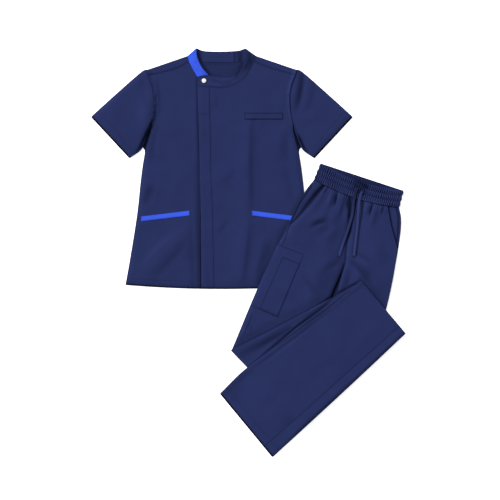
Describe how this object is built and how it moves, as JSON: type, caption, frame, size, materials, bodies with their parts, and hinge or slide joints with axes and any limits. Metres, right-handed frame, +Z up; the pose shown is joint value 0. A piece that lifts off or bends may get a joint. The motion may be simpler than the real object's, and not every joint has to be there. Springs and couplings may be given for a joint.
{
  "type": "medical scrubs",
  "caption": "Two-piece medical scrubs laid flat: short-sleeved tunic with stand collar and blue welts, and drawstring trousers with folded legs.",
  "frame": {"origin": "middle of the footprint, on the surface that the garments lie on", "axes": "+Y towards the tunic's collar, +X to the right seen from above, towards the wearer's left, +Z up off the surface"},
  "size_m": [0.9095, 1.1842, 0.0177],
  "materials": {
    "navy_cloth": "navy polyester and cotton twill, matt with a low sheen",
    "blue_cloth": "bright blue twill, matt",
    "drawstring_cord": "flat woven cord, matt",
    "snap_plastic": "pearl white, glossy"
  },
  "bodies": {
    "root": {"cargo_pocket": "navy_cloth", "chest_welt": "navy_cloth", "collar_back": "navy_cloth", "collar_left": "navy_cloth", "collar_right": "blue_cloth", "drawstring_left": "drawstring_cord", "drawstring_right": "drawstring_cord", "folded_layers": "navy_cloth", "hip_welt_left": "blue_cloth", "hip_welt_right": "blue_cloth", "lower_leg_back": "navy_cloth", "lower_leg_front": "navy_cloth", "overlap_band": "navy_cloth", "phone_pocket": "navy_cloth", "pocket_facing_left": "navy_cloth", "pocket_facing_right": "navy_cloth", "sleeve_left": "navy_cloth", "sleeve_right": "navy_cloth", "snap_cap": "snap_plastic", "trouser_back_left": "navy_cloth", "trouser_back_right": "navy_cloth", "trouser_front_left": "navy_cloth", "trouser_front_right": "navy_cloth", "tunic_back": "navy_cloth", "tunic_front_left": "navy_cloth", "tunic_front_right": "navy_cloth", "waistband_back": "navy_cloth", "waistband_front": "navy_cloth", "yoke_left": "navy_cloth", "yoke_right": "navy_cloth"}
  },
  "joints": []
}
